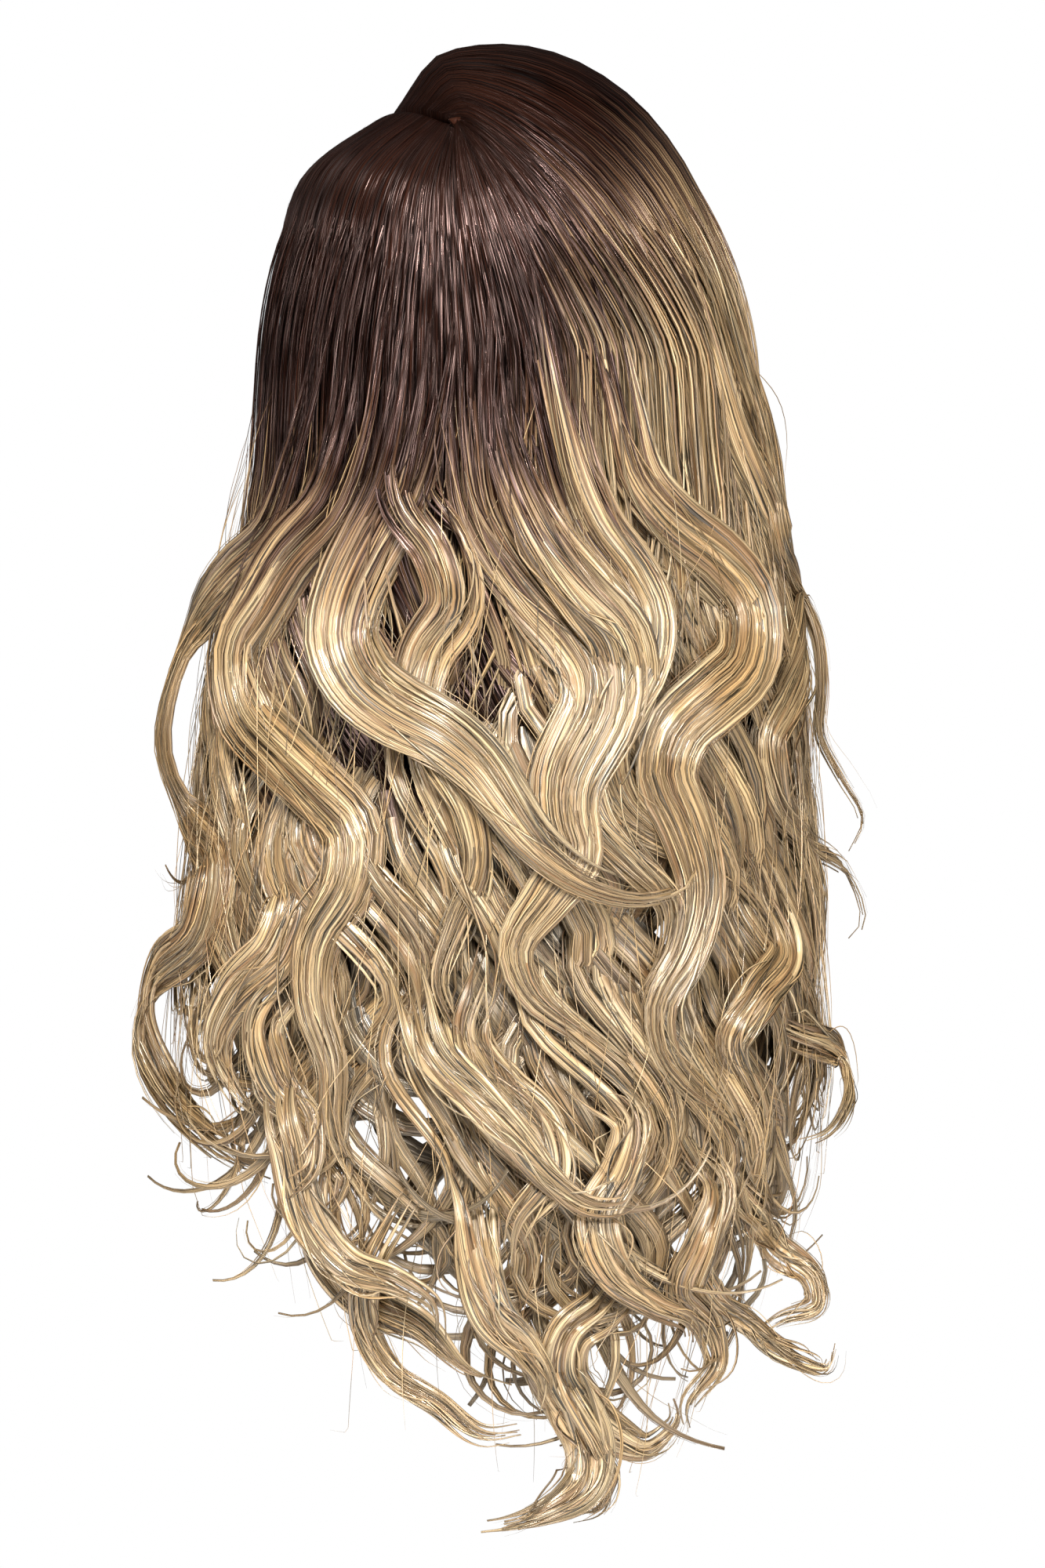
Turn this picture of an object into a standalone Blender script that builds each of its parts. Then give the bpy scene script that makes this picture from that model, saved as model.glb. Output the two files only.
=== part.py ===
"""Long wavy wig as it is worn: a net cap, the hair that covers it on each side of a parting,
and the lengths that hang from it in waves.

Metres, +Z up. The origin is the inside of the cap's crown, where the top of the head sits.
The face looks along -Y, so the wearer's left is +X. Azimuths are degrees round the head:
0 at the face, 90 at the wearer's left ear, 180 at the back and 270 at the right ear.
"""

import math
from collections import namedtuple

import bmesh
import bpy
from mathutils import Matrix, Vector

# The head that the cap is cut for
HEAD_WIDTH = 0.156
HEAD_LENGTH = 0.196
CROWN_HEIGHT = 0.095

# The net cap
CAP_WALL = 0.0015
NAPE_DROP = 0.158
CAP_COLUMNS = 32
CAP_ROWS = 8
RimPoint = namedtuple("RimPoint", "azimuth drop_share")
CAP_RIM = (
    RimPoint(0, 0.34),
    RimPoint(32, 0.36),
    RimPoint(52, 0.52),
    RimPoint(72, 0.75),
    RimPoint(90, 0.76),
    RimPoint(104, 0.64),
    RimPoint(140, 0.82),
    RimPoint(180, 1.0),
)

# Clearance between pieces that touch
SEAM_GAP = 0.0003
PART_GAP = 0.002

# The parting, from the front hairline to the whorl, in shares of half the head's sizes
PartPoint = namedtuple("PartPoint", "side_share back_share")
PARTING = (
    PartPoint(0.44, -0.81),
    PartPoint(0.55, -0.28),
    PartPoint(0.53, 0.10),
    PartPoint(0.40, 0.38),
    PartPoint(0.21, 0.66),
)
LEFT_ROOT_CROWDING = 2.0
RIGHT_ROOT_CROWDING = 1.5

# How far the hair stands off the cap
TOP_LIFT = 0.028
LEFT_LIFT = 0.028
RIGHT_LIFT = 0.024
BACK_LIFT = 0.026
FRONT_LIFT = 0.009
RIGHT_SHOULDER_DIP = 0.004
LEFT_ROOT_LIFT = 0.020
RIGHT_ROOT_LIFT = 0.018
LEFT_ROOT_RISE_SHARE = 0.4
RIGHT_ROOT_RISE_SHARE = 0.15
PART_ROLL_LIFT = 0.004
PART_ROLL_SHARE = 0.45
WHORL_AZIMUTH = 50.0
FACE_EDGE_SHARE = 0.45
FACE_EDGE_AZIMUTH = 18.0
RIB_DEPTH = 0.005
RIB_START_SHARE = 0.15
RIB_GROWN_SHARE = 0.9
SEAM_START_SHARE = 0.9
CROWN_ROWS = 8

# The lengths that hang below the head's widest level
HANG_DROP = 0.100
HAIR_DROP = 0.592
HANG_ROWS = 32
FUSED_ROWS = 8
CURTAIN_THICKNESS = 0.026
TIP_WIDTH_SHARE = 0.30
TIP_THICKNESS = 0.007
TIP_TAPER = 3.0
LOCK_AZIMUTH = 15.0
LEFT_FRONT_AZIMUTH = 52.0
LOCK_COLUMNS = 4
SLIT_SHARE = 0.002

# The waves of the lengths
WAVE_START_DROP = 0.125
WAVE_GROWN_DROP = 0.300
WAVE_WIDTH = 0.013
WAVE_DEPTH = 0.008
TOP_WAVELENGTH = 0.170
TIP_WAVELENGTH = 0.092
WAVE_LAG = 0.75

# How the lengths spread and gather on the way down, in shares of their plan at the hang level
SpreadRow = namedtuple("SpreadRow", "drop_share width_share depth_share")
SPREAD = (
    SpreadRow(0.0, 1.00, 1.00),
    SpreadRow(0.10, 1.03, 0.98),
    SpreadRow(0.27, 1.16, 0.97),
    SpreadRow(0.46, 1.26, 1.00),
    SpreadRow(0.62, 1.33, 1.04),
    SpreadRow(0.72, 1.28, 1.04),
    SpreadRow(0.82, 1.12, 0.99),
    SpreadRow(0.92, 0.94, 0.94),
    SpreadRow(1.0, 0.72, 0.90),
)

# Each lock, from the left of the face round the back to the right of the face. tip_share is its
# length as a share of the longest. side_hook and out_hook are how far its tip curls round the
# head and away from it, in shares of TIP_HOOK.
TIP_HOOK = 0.020
HOOK_LENGTH = 0.075
Lock = namedtuple("Lock", "piece tip_share side_hook out_hook")
LOCKS = (
    Lock("face_locks_left", 0.60, -0.3, 0.2),
    Lock("face_locks_left", 0.65, 0.3, 0.4),
    Lock("side_locks_left", 0.69, -0.2, 0.5),
    Lock("side_locks_left", 0.72, 0.2, 0.5),
    Lock("side_locks_left", 0.77, 0.4, 0.3),
    Lock("back_locks_left", 0.83, -0.3, 0.4),
    Lock("back_locks_left", 0.89, 0.3, 0.3),
    Lock("back_locks_left", 0.95, -0.3, 0.4),
    Lock("back_locks_centre", 0.97, 0.3, 0.2),
    Lock("back_locks_centre", 1.00, 0.4, 0.3),
    Lock("back_locks_centre", 0.97, -0.3, 0.4),
    Lock("back_locks_right", 0.93, 0.4, 0.5),
    Lock("back_locks_right", 0.89, 0.7, 0.6),
    Lock("side_locks_right", 0.79, 0.3, 0.6),
    Lock("side_locks_right", 0.74, -0.2, 0.6),
    Lock("face_locks_right", 0.67, -0.3, 0.4),
    Lock("face_locks_right", 0.61, 0.3, 0.2),
)
LEFT_LOCKS = sum(lock.piece.endswith("left") for lock in LOCKS)
BACK_SEAM_AZIMUTH = LEFT_FRONT_AZIMUTH + LOCK_AZIMUTH * LEFT_LOCKS
RIGHT_FRONT_AZIMUTH = LEFT_FRONT_AZIMUTH + LOCK_AZIMUTH * len(LOCKS)

DARK_ROOTS = (0.060, 0.025, 0.018, 1.0)
BLONDE = (0.62, 0.43, 0.22, 1.0)
NET_BROWN = (0.035, 0.022, 0.017, 1.0)
HAIR_ROUGHNESS = 0.4
NET_ROUGHNESS = 0.9
CREASE_ANGLE = 50

HEAD_RADII = Vector((HEAD_WIDTH / 2, HEAD_LENGTH / 2, CROWN_HEIGHT))
HEAD_CENTRE = Vector((0.0, 0.0, -CROWN_HEIGHT))


def smooth_share(value, start, end):
    """0 before start, 1 after end, and an even rise between them."""
    share = min(1.0, max(0.0, (value - start) / (end - start)))
    return share * share * (3 - 2 * share)


def read_rows(rows, at, column):
    """A table's column read at a value of its first column, smoothly between rows."""
    for low, high in zip(rows, rows[1:]):
        if at <= high[0]:
            share = smooth_share(at, low[0], high[0])
            return getattr(low, column) * (1 - share) + getattr(high, column) * share
    return getattr(rows[-1], column)


def on_head(direction, lift):
    """The point that stands off the head by lift, square to its surface."""
    point = Vector(d * r for d, r in zip(direction, HEAD_RADII))
    square = Vector(d / r for d, r in zip(direction, HEAD_RADII)).normalized()
    return HEAD_CENTRE + point + square * lift


def round_head(azimuth, level):
    """The direction at an azimuth, with the height of level from -1 to 1."""
    flat = math.sqrt(1 - level * level)
    angle = math.radians(azimuth)
    return Vector((flat * math.sin(angle), -flat * math.cos(angle), level))


def turned(start, end, share):
    """The direction a share of the way along the great circle from start to end."""
    angle = start.angle(end)
    return (
        start * math.sin((1 - share) * angle) + end * math.sin(share * angle)
    ) / math.sin(angle)


def new_object(name, mesh_maker, colour, roughness):
    """An object with its own material, whose faces point outwards."""
    mesh = bpy.data.meshes.new(name)
    bmesh.ops.recalc_face_normals(mesh_maker, faces=mesh_maker.faces)
    if mesh_maker.calc_volume(signed=True) < 0:
        bmesh.ops.reverse_faces(mesh_maker, faces=mesh_maker.faces)
    mesh_maker.to_mesh(mesh)
    mesh_maker.free()
    mesh.shade_smooth()
    mesh.set_sharp_from_angle(angle=math.radians(CREASE_ANGLE))
    made = bpy.data.objects.new(name, mesh)
    material = bpy.data.materials.new(name)
    material.use_nodes = True
    shader = material.node_tree.nodes["Principled BSDF"]
    shader.inputs["Base Color"].default_value = colour
    shader.inputs["Roughness"].default_value = roughness
    shader.inputs["Metallic"].default_value = 0.0
    mesh.materials.append(material)
    wig.objects.link(made)
    return made


def thickened(maker):
    """Extrudes a sheet into a closed wall. Returns its outer vertices, then its inner ones."""
    inner = list(maker.verts)
    made = bmesh.ops.extrude_face_region(maker, geom=list(maker.faces))
    outer = [part for part in made["geom"] if isinstance(part, bmesh.types.BMVert)]
    return outer, inner


# The cap is a ball's upper half, stretched down to the rim, with a wall on its outside
def cap_rim_level(azimuth):
    from_face = 180 - abs(180 - azimuth % 360)
    drop = NAPE_DROP * read_rows(CAP_RIM, from_face, "drop_share")
    return 1 - drop / CROWN_HEIGHT


def make_cap():
    maker = bmesh.new()
    bmesh.ops.create_uvsphere(
        maker, u_segments=CAP_COLUMNS, v_segments=2 * CAP_ROWS, radius=1.0
    )
    below = [vert for vert in maker.verts if vert.co.z < -0.001]
    bmesh.ops.delete(maker, geom=below, context="VERTS")
    for vert in maker.verts:
        azimuth = math.degrees(math.atan2(vert.co.x, -vert.co.y)) % 360
        share = math.acos(min(1.0, vert.co.z)) / (math.pi / 2)
        rim_angle = math.acos(cap_rim_level(azimuth))
        level = math.cos(share * rim_angle)
        vert.co = on_head(round_head(azimuth, level), 0.0)
    cap = new_object("wig_cap", maker, NET_BROWN, NET_ROUGHNESS)
    wall = cap.modifiers.new("wall", "SOLIDIFY")
    wall.thickness = CAP_WALL
    wall.offset = 1.0
    wall.use_even_offset = True


# The crown hair lies on the cap from the parting down to the hang level
HANG_LEVEL = 1 - HANG_DROP / CROWN_HEIGHT


def part_direction(share):
    """The direction of the parting's line, from 0 at the hairline to 1 behind the whorl."""
    place = share * (len(PARTING) - 1)
    row = min(int(place), len(PARTING) - 2)
    near, far = PARTING[row], PARTING[row + 1]
    before = PARTING[max(row - 1, 0)]
    after = PARTING[min(row + 2, len(PARTING) - 1)]
    flat = []
    for a, b, c, d in zip(before, near, far, after):
        t = place - row
        slope_b, slope_c = (c - a) / 2, (d - b) / 2
        flat.append(
            b * (2 * t**3 - 3 * t**2 + 1)
            + slope_b * (t**3 - 2 * t**2 + t)
            + c * (3 * t**2 - 2 * t**3)
            + slope_c * (t**3 - t**2)
        )
    side, back = flat
    return Vector((side, back, math.sqrt(max(0.0, 1 - side * side - back * back))))


def lift_at(direction, along, right, azimuth):
    """How far the hair stands off at a direction, along its way from the parting.

    The azimuth is where that hair reaches the hang level. It thins towards the face. On the
    right it rolls up beside the parting, and both sides meet level behind the whorl.
    """
    x, y, z = direction
    side_lift = RIGHT_LIFT if x < 0 else LEFT_LIFT
    end_lift = BACK_LIFT if y > 0 else FRONT_LIFT
    full = TOP_LIFT * z * z + side_lift * x * x + end_lift * y * y
    if x < 0:
        full -= RIGHT_SHOULDER_DIP * 4 * z * z * x * x
    root = RIGHT_ROOT_LIFT if right else LEFT_ROOT_LIFT
    root = min(root, full) if y < 0 else root
    parted = smooth_share(abs(azimuth - BACK_SEAM_AZIMUTH), 0.0, WHORL_AZIMUTH)
    root = full * (1 - parted) + root * parted
    root_rise = RIGHT_ROOT_RISE_SHARE if right else LEFT_ROOT_RISE_SHARE
    rise = smooth_share(along, 0.0, root_rise)
    if right:
        rolled = rise * (1 - smooth_share(along, root_rise, PART_ROLL_SHARE))
        full += PART_ROLL_LIFT * parted * rolled
    from_edge = min(azimuth - LEFT_FRONT_AZIMUTH, RIGHT_FRONT_AZIMUTH - azimuth)
    inward = smooth_share(from_edge, 0.0, FACE_EDGE_AZIMUTH)
    thin = FACE_EDGE_SHARE * (1 - inward) + inward
    return (root * (1 - rise) + full * rise) * thin


def rib_at(lock_place):
    """The rib of each lock, 0 in the grooves between locks."""
    return RIB_DEPTH * abs(math.sin(math.pi * lock_place))


def crown_azimuth(share, start_azimuth):
    """Where the hair at a share of the way from the face to the back seam reaches its edge."""
    return start_azimuth + (BACK_SEAM_AZIMUTH - start_azimuth) * share


def crown_direction(share, along, start_azimuth, right):
    """Where the hair lies on its way from the parting, at 0 along, to the hang level, at 1.

    The share runs from the face to the back seam.
    """
    azimuth = crown_azimuth(share, start_azimuth)
    crowding = RIGHT_ROOT_CROWDING if right else LEFT_ROOT_CROWDING
    root = part_direction(1 - (1 - share) ** crowding)
    end = round_head(azimuth, HANG_LEVEL)
    aside = root.cross(part_direction(1.0) - part_direction(0.5)).normalized()
    hand = 1 if right else -1
    root = (root + aside * hand * PART_GAP / HEAD_WIDTH).normalized()
    sideways = Vector((end.y, -end.x, 0.0)) * -SEAM_GAP / HEAD_WIDTH
    end = (end + sideways * smooth_share(share, SEAM_START_SHARE, 1.0)).normalized()
    return turned(root, end, along)


def facet_sag():
    """How far the crown hair's widest flat facet cuts inside the round of the head."""
    paths = ((LEFT_FRONT_AZIMUTH, False), (RIGHT_FRONT_AZIMUTH, True))
    steps = []
    for azimuth, right in paths:
        root = crown_direction(0.0, 0.0, azimuth, right)
        end = crown_direction(0.0, 1.0, azimuth, right)
        steps.append(root.angle(end) / CROWN_ROWS)
    diagonal = math.hypot(max(steps), math.radians(LOCK_AZIMUTH / 2))
    return max(HEAD_RADII) * (1 - math.cos(diagonal / 2))


SEAT_LIFT = CAP_WALL + 2 * SEAM_GAP + facet_sag()


def crown_point(share, along, start_azimuth, right, locks, outside):
    direction = crown_direction(share, along, start_azimuth, right)
    lift = SEAT_LIFT
    if outside:
        swell = smooth_share(along, RIB_START_SHARE, RIB_GROWN_SHARE)
        azimuth = crown_azimuth(share, start_azimuth)
        lift += lift_at(direction, along, right, azimuth)
        lift += rib_at(share * locks) * swell
    point = on_head(direction, lift)
    if along > 0.999:
        point.z = -HANG_DROP
    return point


def make_crown_hair(name, start_azimuth, locks, right):
    maker = bmesh.new()
    bmesh.ops.create_grid(
        maker,
        x_segments=locks * LOCK_COLUMNS,
        y_segments=CROWN_ROWS,
        size=0.5,
        matrix=Matrix.Translation((0.5, 0.5, 0.0)),
    )
    for verts, outside in zip(thickened(maker), (True, False)):
        for vert in verts:
            share, along = vert.co.x, vert.co.y
            vert.co = crown_point(share, along, start_azimuth, right, locks, outside)
    new_object(name, maker, DARK_ROOTS, HAIR_ROUGHNESS)


# The lengths hang below the crown hair as locks that are one piece at the top of each group
ROW_DROP = (HAIR_DROP - HANG_DROP) / HANG_ROWS


def lock_rows(lock):
    """How many rows a lock has down to its tip."""
    return round((HAIR_DROP * lock.tip_share - HANG_DROP) / ROW_DROP)


def drop_at(row, lock):
    if row >= lock_rows(lock):
        return HAIR_DROP * lock.tip_share
    return HANG_DROP + SEAM_GAP + ROW_DROP * row


def wave_turns(drop):
    """How many waves a lock has made at a drop, as they grow shorter towards the tips."""
    full = HAIR_DROP - WAVE_START_DROP
    change = TIP_WAVELENGTH - TOP_WAVELENGTH
    run = max(0.0, drop - WAVE_START_DROP)
    return full / change * math.log(1 + change * run / (full * TOP_WAVELENGTH))


def hang_plan(azimuth, outside):
    """The plan of the crown hair's lower edge, in X and Y, which the lengths start from."""
    right = azimuth > BACK_SEAM_AZIMUTH
    direction = round_head(azimuth, HANG_LEVEL)
    lift = SEAT_LIFT
    if outside:
        place = (azimuth - LEFT_FRONT_AZIMUTH) / LOCK_AZIMUTH
        lift += lift_at(direction, 1.0, right, azimuth) + rib_at(place)
    point = on_head(direction, lift)
    return Vector((point.x, point.y, 0.0))


def hanging_point(lock_place, row, lock_index, outside):
    lock = LOCKS[lock_index]
    drop = drop_at(row, lock)
    tip_drop = HAIR_DROP * lock.tip_share
    split_drop = HANG_DROP + ROW_DROP * FUSED_ROWS
    free = max(0.0, (drop - split_drop) / (tip_drop - split_drop))
    width = 1 - (1 - TIP_WIDTH_SHARE) * free**TIP_TAPER
    place = lock_index + 0.5 + (lock_place - lock_index - 0.5) * width
    azimuth = LEFT_FRONT_AZIMUTH + LOCK_AZIMUTH * place
    fall = (drop - HANG_DROP) / (HAIR_DROP - HANG_DROP)
    edge = hang_plan(azimuth, True)
    outward = edge.normalized()
    around = Vector((outward.y, -outward.x, 0.0))
    edge.x *= read_rows(SPREAD, fall, "width_share")
    edge.y *= read_rows(SPREAD, fall, "depth_share")
    if not outside:
        thick = (hang_plan(azimuth, True) - hang_plan(azimuth, False)).length
        settle = smooth_share(drop, HANG_DROP, WAVE_GROWN_DROP)
        thick += (CURTAIN_THICKNESS - thick) * settle
        thick += (TIP_THICKNESS - thick) * free**TIP_TAPER
        edge -= outward * thick
    elif free:
        edge -= outward * RIB_DEPTH * free
    grown = smooth_share(drop, WAVE_START_DROP, WAVE_GROWN_DROP)
    turn = 2 * math.pi * (wave_turns(drop) + WAVE_LAG * math.radians(azimuth))
    edge -= around * WAVE_WIDTH * grown * math.sin(turn)
    edge += outward * WAVE_DEPTH * grown * math.cos(turn)
    hook = max(0.0, 1 - (tip_drop - drop) / HOOK_LENGTH) ** 2 * TIP_HOOK
    edge -= around * hook * lock.side_hook
    edge += outward * hook * lock.out_hook
    return Vector((edge.x, edge.y, -drop))


def make_hanging_locks(name):
    indexes = [i for i, lock in enumerate(LOCKS) if lock.piece == name]
    maker = bmesh.new()
    for index in indexes:
        rows = lock_rows(LOCKS[index])
        middle = Matrix.Translation((index + 0.5, rows / 2, 0.0))
        made = bmesh.ops.create_grid(
            maker,
            x_segments=LOCK_COLUMNS,
            y_segments=rows,
            size=0.5,
            matrix=middle @ Matrix.Diagonal((1.0, rows, 1.0, 1.0)),
        )
        for vert in made["verts"]:
            if vert.co.y > FUSED_ROWS + 0.5:
                vert.co.x += (index + 0.5 - vert.co.x) * SLIT_SHARE
    bmesh.ops.remove_doubles(maker, verts=maker.verts, dist=SLIT_SHARE / 4)
    first, last = indexes[0], indexes[-1] + 1
    for verts, outside in zip(thickened(maker), (True, False)):
        for vert in verts:
            place, row = vert.co.x, round(vert.co.y)
            index = min(max(int(place), first), last - 1)
            inset = SEAM_GAP / HEAD_WIDTH * 2 / math.radians(LOCK_AZIMUTH)
            place = min(max(place, first + inset), last - inset)
            vert.co = hanging_point(place, row, index, outside)
    new_object(name, maker, BLONDE, HAIR_ROUGHNESS)


for old in list(bpy.data.objects):
    bpy.data.objects.remove(old)
wig = bpy.data.collections.new("long_wavy_wig")
bpy.context.scene.collection.children.link(wig)

make_cap()
make_crown_hair("crown_hair_left", LEFT_FRONT_AZIMUTH, LEFT_LOCKS, right=False)
make_crown_hair(
    "crown_hair_right", RIGHT_FRONT_AZIMUTH, len(LOCKS) - LEFT_LOCKS, right=True
)
for piece_name in sorted({lock.piece for lock in LOCKS}):
    make_hanging_locks(piece_name)
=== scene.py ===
import math
from collections import namedtuple

import bmesh
import bpy
import numpy as np
from mathutils import Matrix, Vector


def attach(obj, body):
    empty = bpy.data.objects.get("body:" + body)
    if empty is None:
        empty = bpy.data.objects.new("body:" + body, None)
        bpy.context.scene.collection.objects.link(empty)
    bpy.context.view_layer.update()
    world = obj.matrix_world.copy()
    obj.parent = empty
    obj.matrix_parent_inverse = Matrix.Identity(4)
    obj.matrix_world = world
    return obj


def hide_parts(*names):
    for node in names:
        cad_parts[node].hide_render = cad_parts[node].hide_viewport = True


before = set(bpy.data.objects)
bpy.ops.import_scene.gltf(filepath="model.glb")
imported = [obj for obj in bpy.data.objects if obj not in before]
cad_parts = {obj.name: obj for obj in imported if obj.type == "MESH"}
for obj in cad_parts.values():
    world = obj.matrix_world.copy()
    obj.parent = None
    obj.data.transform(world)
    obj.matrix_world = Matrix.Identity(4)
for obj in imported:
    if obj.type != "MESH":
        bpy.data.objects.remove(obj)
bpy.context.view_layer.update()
chance = np.random.RandomState(7)

# Cap
# The cap is a stretchy net of dark brown yarn. Its hair is sewn on in level rows of machine
# stitching, which show inside as raised tracks. Both are drawn some six times too coarse here.
TRACK_SPACING = 0.08168
NET_SPACING = 0.013823
NET_DEPTH = 0.0004
WAVE_RADIANS = 20
NET_YARN = (0.050, 0.030, 0.023, 1.0)
NET_HOLE = (0.010, 0.006, 0.005, 1.0)
TRACK_THREAD = (0.120, 0.078, 0.058, 1.0)

net = bpy.data.materials.new("cap_net")
net.use_nodes = True
nodes, links = net.node_tree.nodes, net.node_tree.links
yarn = nodes["Principled BSDF"]
place = nodes.new("ShaderNodeTexCoord")
mesh_lines = []
for turn in (45, -45):
    turned_place = nodes.new("ShaderNodeMapping")
    turned_place.inputs["Rotation"].default_value = (math.radians(turn), 0, math.radians(turn))
    line = nodes.new("ShaderNodeTexWave")
    line.wave_profile = "SIN"
    line.inputs["Scale"].default_value = 2 * math.pi / (WAVE_RADIANS * NET_SPACING)
    line.inputs["Distortion"].default_value = 0.6
    links.new(place.outputs["Object"], turned_place.inputs["Vector"])
    links.new(turned_place.outputs["Vector"], line.inputs["Vector"])
    mesh_lines.append(line)
crossed = nodes.new("ShaderNodeMath")
crossed.operation = "MAXIMUM"
for line, socket in zip(mesh_lines, crossed.inputs):
    links.new(line.outputs["Fac"], socket)
tracks = nodes.new("ShaderNodeTexWave")
tracks.bands_direction = "Z"
tracks.inputs["Scale"].default_value = 2 * math.pi / (WAVE_RADIANS * TRACK_SPACING)
tracks.inputs["Distortion"].default_value = 0.3
links.new(place.outputs["Object"], tracks.inputs["Vector"])
track_band = nodes.new("ShaderNodeMapRange")
track_band.inputs["From Min"].default_value = 0.80
track_band.inputs["From Max"].default_value = 0.95
links.new(tracks.outputs["Fac"], track_band.inputs["Value"])
net_colour = nodes.new("ShaderNodeMix")
net_colour.data_type = "RGBA"
net_colour.inputs[6].default_value = NET_HOLE
net_colour.inputs[7].default_value = NET_YARN
links.new(crossed.outputs[0], net_colour.inputs[0])
sewn_colour = nodes.new("ShaderNodeMix")
sewn_colour.data_type = "RGBA"
sewn_colour.inputs[7].default_value = TRACK_THREAD
links.new(net_colour.outputs[2], sewn_colour.inputs[6])
links.new(track_band.outputs["Result"], sewn_colour.inputs[0])
links.new(sewn_colour.outputs[2], yarn.inputs["Base Color"])
raised = nodes.new("ShaderNodeMath")
raised.operation = "ADD"
links.new(crossed.outputs[0], raised.inputs[0])
links.new(track_band.outputs["Result"], raised.inputs[1])
net_bump = nodes.new("ShaderNodeBump")
net_bump.inputs["Distance"].default_value = NET_DEPTH
links.new(raised.outputs[0], net_bump.inputs["Height"])
links.new(net_bump.outputs["Normal"], yarn.inputs["Normal"])
yarn.inputs["Roughness"].default_value = 0.85
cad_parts["wig_cap"].material_slots[0].material = net

# Crown hair
# The hair of the crown is combed off a parting on the wearer's left and lies round the cap in
# two smooth sheets. Each is a wall of fibres that starts dark at the roots.
HEAD_RADII = Vector((0.078, 0.098, 0.095))
HEAD_CENTRE = Vector((0.0, 0.0, -0.095))
HANG_DROP = 0.100
HANG_LEVEL = 1 - HANG_DROP / HEAD_RADII.z
SEAT_LIFT = 0.0032
TOP_LIFT = 0.028
LEFT_LIFT = 0.030
RIGHT_LIFT = 0.024
BACK_LIFT = 0.026
FRONT_LIFT = 0.009
RIGHT_SHOULDER_DIP = 0.004
LEFT_ROOT_LIFT = 0.020
RIGHT_ROOT_LIFT = 0.018
LEFT_ROOT_RISE_SHARE = 0.4
RIGHT_ROOT_RISE_SHARE = 0.15
PART_ROLL_LIFT = 0.004
PART_ROLL_SHARE = 0.45
WHORL_AZIMUTH = 50.0
EDGE_ROUND_SHARE = 0.03
EDGE_ROUND_DEPTH = 0.6
FACE_EDGE_SHARE = 0.45
FACE_EDGE_AZIMUTH = 18.0
LEFT_FRONT = 52.0
BACK_SEAM = 187.0
RIGHT_FRONT = 307.0
LEFT_CROWDING = 2.0
RIGHT_CROWDING = 1.5

PartPoint = namedtuple("PartPoint", "side_share back_share")
PARTING = (
    PartPoint(0.44, -0.81),
    PartPoint(0.55, -0.28),
    PartPoint(0.53, 0.10),
    PartPoint(0.40, 0.38),
    PartPoint(0.21, 0.66),
)


def smooth_share(value, start, end):
    """0 before start, 1 after end, and an even rise between them. Takes arrays too."""
    share = np.clip((value - start) / (end - start), 0.0, 1.0)
    return share * share * (3 - 2 * share)


def on_head(direction, lift):
    point = Vector(d * r for d, r in zip(direction, HEAD_RADII))
    square = Vector(d / r for d, r in zip(direction, HEAD_RADII)).normalized()
    return HEAD_CENTRE + point + square * lift, square


def round_head(azimuth, level):
    flat = math.sqrt(1 - level * level)
    angle = math.radians(azimuth)
    return Vector((flat * math.sin(angle), -flat * math.cos(angle), level))


def eased(t, near, leaving, far, arriving):
    """A smooth curve's place at t, from 0 at near to 1 at far, by its slopes at both."""
    return (
        near * (2 * t**3 - 3 * t**2 + 1)
        + leaving * (t**3 - 2 * t**2 + t)
        + far * (3 * t**2 - 2 * t**3)
        + arriving * (t**3 - t**2)
    )


def part_direction(share):
    """The parting's line, from 0 at the front hairline to 1 at the whorl."""
    place = share * (len(PARTING) - 1)
    row = min(int(place), len(PARTING) - 2)
    t = place - row
    before = PARTING[max(row - 1, 0)]
    after = PARTING[min(row + 2, len(PARTING) - 1)]
    side, back = (
        eased(t, b, (c - a) / 2, c, (d - b) / 2)
        for a, b, c, d in zip(before, PARTING[row], PARTING[row + 1], after)
    )
    return Vector((side, back, math.sqrt(max(0.0, 1 - side * side - back * back))))


def hair_lift(direction, along, azimuth):
    """How far the hair stands off the cap."""
    right = azimuth > BACK_SEAM
    x, y, z = direction
    side_lift = RIGHT_LIFT if x < 0 else LEFT_LIFT
    end_lift = BACK_LIFT if y > 0 else FRONT_LIFT
    full = TOP_LIFT * z * z + side_lift * x * x + end_lift * y * y
    if x < 0:
        full -= RIGHT_SHOULDER_DIP * 4 * z * z * x * x
    root = RIGHT_ROOT_LIFT if right else LEFT_ROOT_LIFT
    root = min(root, full) if y < 0 else root
    parted = smooth_share(abs(azimuth - BACK_SEAM), 0.0, WHORL_AZIMUTH)
    root = full * (1 - parted) + root * parted
    root *= 1 - EDGE_ROUND_DEPTH * parted * max(0.0, 1 - along / EDGE_ROUND_SHARE) ** 2
    root_rise = RIGHT_ROOT_RISE_SHARE if right else LEFT_ROOT_RISE_SHARE
    rise = smooth_share(along, 0.0, root_rise)
    if right:
        rolled = rise * (1 - smooth_share(along, root_rise, PART_ROLL_SHARE))
        full += PART_ROLL_LIFT * parted * rolled
    from_edge = min(azimuth - LEFT_FRONT, RIGHT_FRONT - azimuth)
    inward = smooth_share(from_edge, 0.0, FACE_EDGE_AZIMUTH)
    thin = FACE_EDGE_SHARE * (1 - inward) + inward
    return (root * (1 - rise) + full * rise) * thin


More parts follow.
